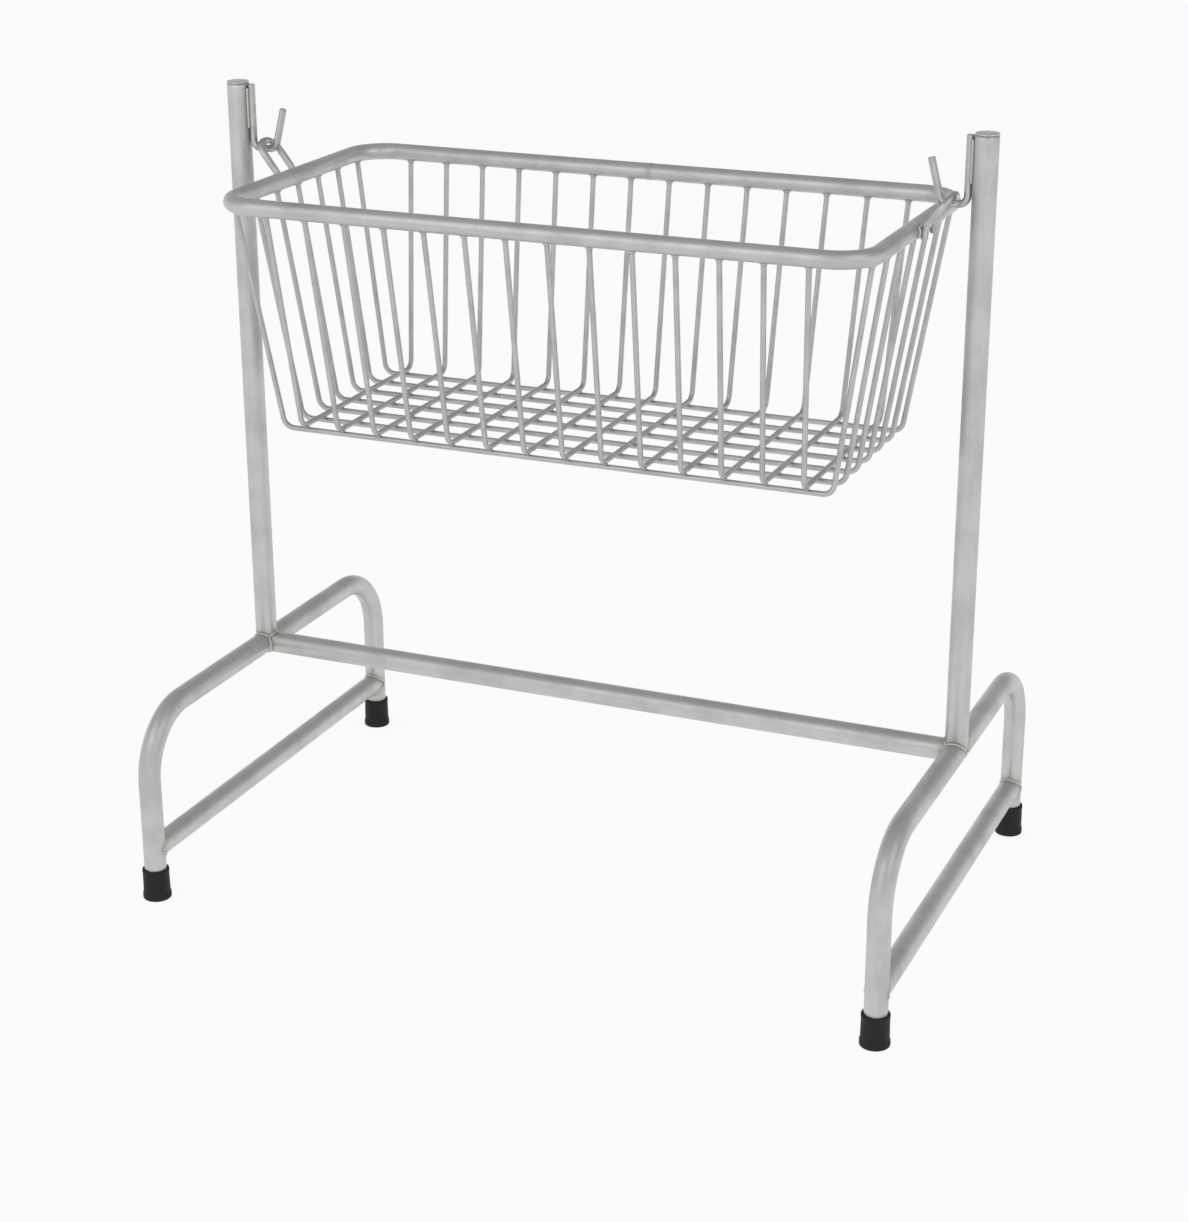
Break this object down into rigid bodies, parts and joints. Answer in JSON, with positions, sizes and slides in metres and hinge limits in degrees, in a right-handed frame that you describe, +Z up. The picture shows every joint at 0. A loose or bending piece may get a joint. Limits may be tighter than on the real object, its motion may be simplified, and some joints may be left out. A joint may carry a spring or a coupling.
{
  "type": "hospital baby cradle",
  "caption": "Tubular steel stand with two uprights and a tapered wire basket that swings between them on rod hooks, on rubber feet.",
  "frame": {"origin": "on the floor under the middle of the stand", "axes": "+Z up, X along the cradle from end to end, -Y towards the front"},
  "size_m": [0.901, 0.583, 0.9],
  "materials": {
    "stand_tube": "satin bare steel tube, grained along its length",
    "upright_cap": "satin bare steel, turned face",
    "hanging_rod": "satin bright steel rod, worn where it hangs",
    "basket_rim": "satin bare steel tube, grained along its length",
    "basket_wire": "drawn steel wire, satin",
    "ferrule_rubber": "matt black moulded rubber"
  },
  "bodies": {
    "stand": {"left_end_frame": "stand_tube", "left_stretcher": "stand_tube", "left_upright": "stand_tube", "left_upright_cap": "upright_cap", "left_hook": "hanging_rod", "left_front_ferrule": "ferrule_rubber", "left_back_ferrule": "ferrule_rubber", "right_end_frame": "stand_tube", "right_stretcher": "stand_tube", "right_upright": "stand_tube", "right_upright_cap": "upright_cap", "right_hook": "hanging_rod", "right_front_ferrule": "ferrule_rubber", "right_back_ferrule": "ferrule_rubber", "cross_rail": "stand_tube"},
    "basket": {"rim": "basket_rim", "left_hanger_loop": "hanging_rod", "right_hanger_loop": "hanging_rod", "cross_wire_01": "basket_wire", "cross_wire_02": "basket_wire", "cross_wire_03": "basket_wire", "cross_wire_04": "basket_wire", "cross_wire_05": "basket_wire", "cross_wire_06": "basket_wire", "cross_wire_07": "basket_wire", "cross_wire_08": "basket_wire", "cross_wire_09": "basket_wire", "cross_wire_10": "basket_wire", "cross_wire_11": "basket_wire", "cross_wire_12": "basket_wire", "cross_wire_13": "basket_wire", "cross_wire_14": "basket_wire", "long_wire_1": "basket_wire", "long_wire_2": "basket_wire", "long_wire_3": "basket_wire", "long_wire_4": "basket_wire", "long_wire_5": "basket_wire", "long_wire_6": "basket_wire", "long_wire_7": "basket_wire"}
  },
  "joints": [
    {"name": "basket_swing", "type": "hinge", "parent": "stand", "child": "basket", "pos_m": [0, 0, 0.825], "axis": [1, 0, 0], "range_deg": [-35, 35]}
  ]
}
